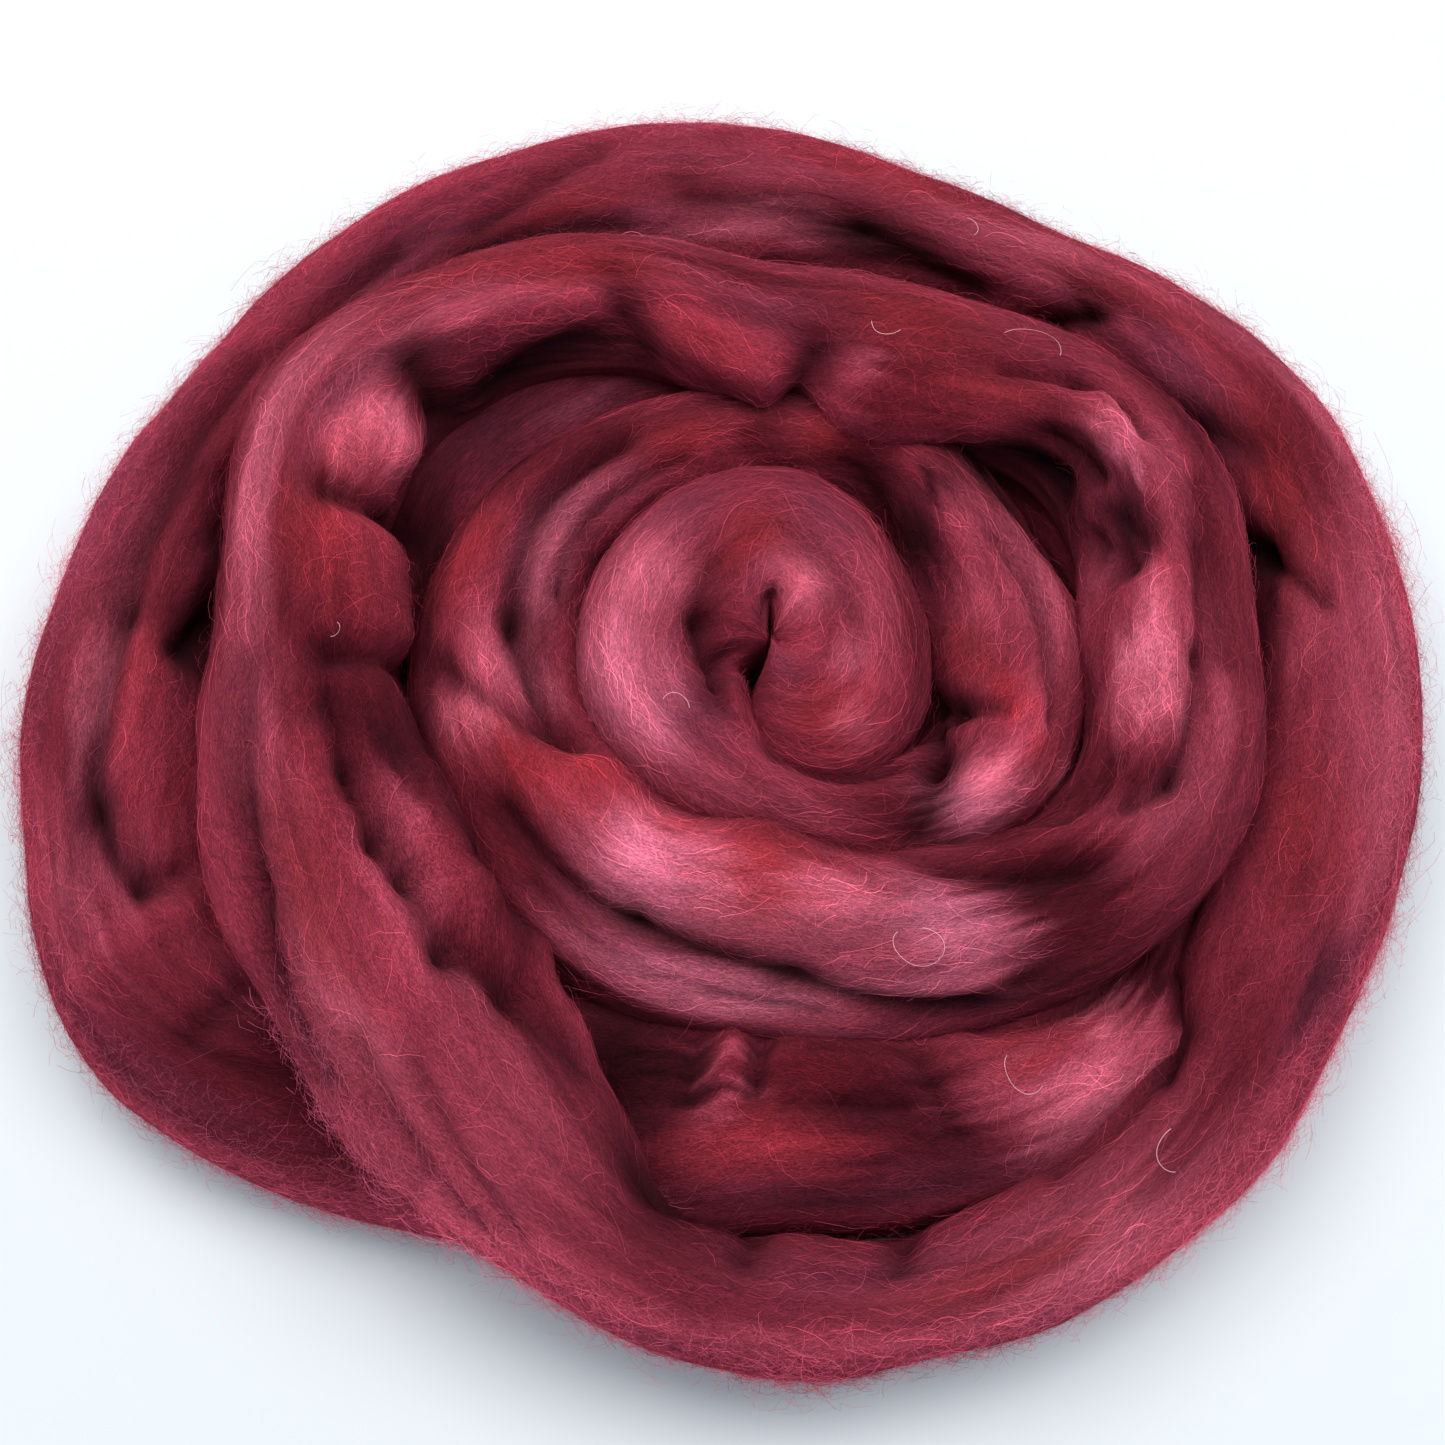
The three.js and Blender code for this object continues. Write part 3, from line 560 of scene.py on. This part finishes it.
body_maker = bmesh.new()
body_maker.loops.layers.uv.new("flow")
bmesh.ops.create_grid(body_maker, x_segments=RINGS, y_segments=PLACES, size=1, calc_uvs=True)
grid = np.array([vertex.co[:2] for vertex in body_maker.verts]) / 2 + 0.5
body_hours = hour_along(np.interp(grid[:, 0], RING_SHARES, LENGTH_SHARES))
body_around = np.interp(grid[:, 1], PLACE_SHARES, PLACE_ANGLES)
for vertex, point in zip(body_maker.verts, wool_surface(body_hours, body_around)):
    vertex.co = point
rope_mesh = bpy.data.meshes.new("rope")
body_maker.to_mesh(rope_mesh)
body_maker.free()
colour_mesh(rope_mesh, dye_and_shade_at(body_hours, body_around))
body_maker = bmesh.new()
body_maker.from_mesh(rope_mesh)
bmesh.ops.remove_doubles(body_maker, verts=body_maker.verts, dist=JOIN_DISTANCE)
bmesh.ops.recalc_face_normals(body_maker, faces=body_maker.faces)
body_maker.to_mesh(rope_mesh)
body_maker.free()
rope_mesh.shade_smooth()
rope_mesh.materials.append(wool_material("dyed wool", streaks=True))
rope = bpy.data.objects.new("rope", rope_mesh)
scene.collection.objects.link(rope)
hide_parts("combed_top")
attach(rope, "root")

# Lying fibres
# The combed fibres that lie along the rope and give it its grain, each a thin flat ribbon that bends a
# little. They are held only by their neighbours, so no two lie quite the same way.
FIBRE_SEGMENTS = 5
FIBRES_IN_A_PIECE = 19500
LAYERS = 2
# The rest of the length is buried under the other turns
SHOWING_SHARE = 0.88
FIBRE_LENGTHS = (7 * MM, 20 * MM)
FIBRE_WIDTHS = (0.07 * MM, 0.15 * MM)
# Angles round the rope between which they lie, on the outer turn and on the others
OUTER_SIDES = (-40, 190)
INNER_SIDES = (2, 182)
# They lean off the rope's own direction in locks, and each one a little more by itself
LOCKS = (np.radians(26), 31, 120, 9)
FIBRE_LEAN = np.radians(24)
LOWEST = 0.05 * MM
fibre_material = wool_material("wool fibre", streaks=False)


def laid_out(hour, around, along, across):
    """Hours and angles of points that lie some way along the rope and across it from a start."""
    hours = hour[:, None] + along / (HOUR * cut_at(hour, RADIUS))[:, None]
    return np.clip(hours, FIRST_HOUR, LAST_HOUR), around[:, None] + across / girth_at(hour)[:, None] * 360


def ribbons(name, hours, around, lift, width, roll, colours):
    """Join fibres into one piece. Hours, around and lift have a row for each fibre, a column a point."""
    middle = wool_surface(hours, around, lift)
    above = wool_surface(hours, around, lift + 0.5 * MM)
    normal = above - middle
    normal /= np.linalg.norm(normal, axis=-1, keepdims=True) + 1e-12
    tangent = np.gradient(middle, axis=1)
    tangent /= np.linalg.norm(tangent, axis=-1, keepdims=True) + 1e-12
    side = np.cross(normal, tangent)
    side = side * np.cos(roll)[:, None, None] + normal * np.sin(roll)[:, None, None]
    half = (width / 2)[:, None, None] * side
    corners = np.stack([middle - half, middle + half], 2)
    corners[..., 2] = np.maximum(corners[..., 2], LOWEST)
    count, points = hours.shape
    first = 2 * (np.arange(count)[:, None] * points + np.arange(points - 1)).ravel()
    quads = np.stack([first, first + 1, first + 3, first + 2], 1)
    mesh = bpy.data.meshes.new(name)
    mesh.vertices.add(count * points * 2)
    mesh.vertices.foreach_set("co", corners.ravel())
    mesh.loops.add(len(quads) * 4)
    mesh.loops.foreach_set("vertex_index", quads.ravel())
    mesh.polygons.add(len(quads))
    mesh.polygons.foreach_set("loop_start", np.arange(len(quads)) * 4)
    mesh.update()
    colour_mesh(mesh, np.repeat(colours.reshape(-1, 3), 2, axis=0))
    mesh.materials.append(fibre_material)
    piece = bpy.data.objects.new(name, mesh)
    scene.collection.objects.link(piece)
    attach(piece, "root")
    return piece


for layer in range(LAYERS):
    draw = np.random.default_rng(100 + layer)
    start = hour_along(draw.uniform(0, SHOWING_SHARE, FIBRES_IN_A_PIECE))
    outer = (start > OUTER_TURN[0]) & (start < OUTER_TURN[1])
    angle = draw.uniform(*(np.where(outer, *sides) for sides in zip(OUTER_SIDES, INNER_SIDES)))
    length = draw.uniform(*FIBRE_LENGTHS, FIBRES_IN_A_PIECE)[:, None]
    steps = np.linspace(-0.5, 0.5, FIBRE_SEGMENTS + 1)
    heading = soft_noise(*LOCKS, start, angle) + draw.normal(0, FIBRE_LEAN, len(start))
    cosine, sine = np.cos(heading)[:, None], np.sin(heading)[:, None]
    bend = draw.normal(0, 0.8, len(start))[:, None] * length * steps**2
    crimp = draw.uniform(0.1, 0.5, len(start))[:, None] * MM
    crimp = crimp * draw.choice([-1, 1], (len(start), FIBRE_SEGMENTS + 1))
    fibre_hours, fibre_around = laid_out(
        start, angle, length * steps * cosine - bend * sine, length * steps * sine + bend * cosine + crimp
    )
    lift = draw.gamma(1.5, 0.3, len(start)).clip(0.05, 1.6)[:, None] * MM * np.cos(math.pi * steps) ** 0.5
    tone = np.exp(draw.normal(0.1, 0.5, len(start)))[:, None, None]
    ribbons(
        f"lying_fibres_{layer + 1}",
        fibre_hours,
        fibre_around,
        lift,
        draw.uniform(*FIBRE_WIDTHS, len(start)),
        draw.normal(0, 0.6, len(start)),
        dye_and_shade_at(fibre_hours, fibre_around) * np.clip(tone, 0.45, 2.6),
    )

# Loose fibres
# Fine curly fibre ends that stand off the rope, worked loose by handling. Most are on its outer side, where
# they make its soft outline.
LOOSE_SEGMENTS = 4
LOOSE_FIBRES = 17000
LOOSE_WIDTHS = (0.06 * MM, 0.13 * MM)
# How far they may sink into the wool and stand off it
LOOSE_LOWEST = -0.3 * MM
LOOSE_HIGHEST = 11 * MM
# Painted light: a pale tint added to the loose fibres' colour for the light they catch, most of all at the
# outline
PAINTED_LIGHT_TINT = np.array([1.0, 0.22, 0.36])
PAINTED_LIGHT_OUTSIDE = 0.24
PAINTED_LIGHT_ON_TOP = 0.01
# Some of the outer ones stand in tufts pulled out of the outer turn. Columns: hour, around
TUFT_SHARE = 0.06
TUFT_LENGTHENING = 1.9
TUFTS = np.array([[39.28, 34], [39.4, 40], [39.35, 48], [38.15, 22], [36.05, 18], [45.3, 30], [43.7, 40]])


def loose_fibres(name, seed, from_hour, to_hour, from_around, to_around, tuft_share, painted_light):
    """Loose curly fibre ends over a stretch of the rope, each an arc that rises and turns back."""
    draw = np.random.default_rng(seed)
    start = draw.uniform(from_hour, to_hour, LOOSE_FIBRES)
    angle = draw.uniform(from_around, to_around, LOOSE_FIBRES)
    in_tuft = draw.uniform(0, 1, LOOSE_FIBRES) < tuft_share
    tuft = TUFTS[draw.integers(0, len(TUFTS), LOOSE_FIBRES)]
    start[in_tuft] = (tuft[:, 0] + draw.normal(0, 0.07, LOOSE_FIBRES))[in_tuft]
    angle[in_tuft] = (tuft[:, 1] + draw.normal(0, 8, LOOSE_FIBRES))[in_tuft]
    length = draw.gamma(3.2, 2.3, LOOSE_FIBRES).clip(2.5, 20) * MM * np.where(in_tuft, TUFT_LENGTHENING, 1)
    middles = (np.arange(LOOSE_SEGMENTS) + 0.5) / LOOSE_SEGMENTS
    climb = draw.uniform(0.3, 1.3, LOOSE_FIBRES)[:, None]
    climb = climb - draw.uniform(0.4, 2.6, LOOSE_FIBRES)[:, None] * middles
    heading = draw.uniform(0, 2 * math.pi, LOOSE_FIBRES)[:, None]
    heading = heading + draw.normal(0, 2.4, LOOSE_FIBRES)[:, None] * middles
    run = length[:, None] / LOOSE_SEGMENTS
    path = [
        np.concatenate([np.zeros((LOOSE_FIBRES, 1)), np.cumsum(run * step, axis=1)], 1)
        for step in (np.cos(climb) * np.cos(heading), np.cos(climb) * np.sin(heading), np.sin(climb))
    ]
    hours, around = laid_out(start, angle, path[0], path[1])
    # Their colour is the dye with a pale painted light added
    ribbons(
        name,
        hours,
        around,
        np.clip(path[2], LOOSE_LOWEST, LOOSE_HIGHEST),
        draw.uniform(*LOOSE_WIDTHS, LOOSE_FIBRES),
        draw.uniform(-1.5, 1.5, LOOSE_FIBRES),
        dye_and_shade_at(hours, around) + painted_light * PAINTED_LIGHT_TINT,
    )


loose_fibres("outline_fibres_1", 200, 34.3, 47.7, -30, 62, TUFT_SHARE, PAINTED_LIGHT_OUTSIDE)
loose_fibres("outline_fibres_2", 201, 34.3, 47.7, -20, 50, 0, PAINTED_LIGHT_OUTSIDE)
loose_fibres("loose_fibres", 202, FIRST_HOUR, 49.5, 5, 180, 0, PAINTED_LIGHT_ON_TOP)

# Stray curls
# Single pale fibres, coarser than the others, that took little dye. Each lies on the wool in an open curl.
# Columns: hour, around, radius of the curl in millimetres, from angle, to angle
CURLS = np.array([
    [24.74, 74, 7, 130, 420], [28.6, 84, 11, 200, 330], [29.3, 88, 6, 20, 150], [48.95, 96, 6, 120, 300],
    [33.1, 112, 2.5, 0, 140], [41.2, 98, 5, 150, 280], [10.4, 86, 5, 40, 200], [37.2, 88, 7, 60, 230],
])
CURL_STEPS = 40
CURL_WIDTH = 0.16 * MM
CURL_LIFT = 1.6 * MM
CURL_SHADE = np.array([0.75, 0.42, 0.44])
turns = np.radians(np.linspace(CURLS[:, 3], CURLS[:, 4], CURL_STEPS, axis=1))
curl_reach = CURLS[:, 2:3] * MM * (1 + 0.05 * np.sin(2 * turns + 1) + 0.03 * np.sin(3 * turns))
ribbons(
    "stray_curls",
    *laid_out(CURLS[:, 0], CURLS[:, 1], curl_reach * np.cos(turns), curl_reach * np.sin(turns)),
    np.full(turns.shape, CURL_LIFT),
    np.full(len(CURLS), CURL_WIDTH),
    np.zeros(len(CURLS)),
    np.broadcast_to(CURL_SHADE, turns.shape + (3,)),
)

# Floor and light
# A plain pale sheet under soft daylight, with one broad lamp behind on the left and one above on the right.
FLOOR_SIZE = 6.0
LAMP_SIZE = 1.2
WINDOW_PLACE = (-0.55, 0.6, 1.6)
WINDOW_POWER = 17.5
CEILING_PLACE = (0.65, 0.3, 1.7)
CEILING_POWER = 16
SKY_COLOUR = (0.74, 0.87, 1.0, 1)
SKY_STRENGTH = 0.70
floor_maker = bmesh.new()
bmesh.ops.create_grid(floor_maker, x_segments=1, y_segments=1, size=FLOOR_SIZE / 2)
floor_mesh = bpy.data.meshes.new("floor")
floor_maker.to_mesh(floor_mesh)
floor_maker.free()
floor_material = bpy.data.materials.new("pale floor")
floor_material.use_nodes = True
floor_shader = floor_material.node_tree.nodes["Principled BSDF"]
floor_shader.inputs["Base Color"].default_value = (0.72, 0.735, 0.74, 1)
floor_shader.inputs["Roughness"].default_value = 0.9
floor_shader.inputs["Specular IOR Level"].default_value = 0.2
floor_mesh.materials.append(floor_material)
floor = bpy.data.objects.new("floor", floor_mesh)
scene.collection.objects.link(floor)


def soft_lamp(name, place, power, colour):
    """A broad round lamp that faces the coil."""
    lamp_data = bpy.data.lights.new(name, "AREA")
    lamp_data.shape = "DISK"
    lamp_data.size = LAMP_SIZE
    lamp_data.energy = power
    lamp_data.color = colour
    lamp = bpy.data.objects.new(name, lamp_data)
    lamp.location = place
    lamp.rotation_euler = (-Vector(place)).to_track_quat("-Z", "Y").to_euler()
    scene.collection.objects.link(lamp)


soft_lamp("window", WINDOW_PLACE, WINDOW_POWER, (1.0, 0.97, 0.93))
soft_lamp("ceiling", CEILING_PLACE, CEILING_POWER, (1.0, 0.99, 0.98))
world = bpy.data.worlds.new("room")
world.use_nodes = True
world.node_tree.nodes["Background"].inputs["Color"].default_value = SKY_COLOUR
world.node_tree.nodes["Background"].inputs["Strength"].default_value = SKY_STRENGTH
scene.world = world
scene.view_settings.view_transform = "Standard"
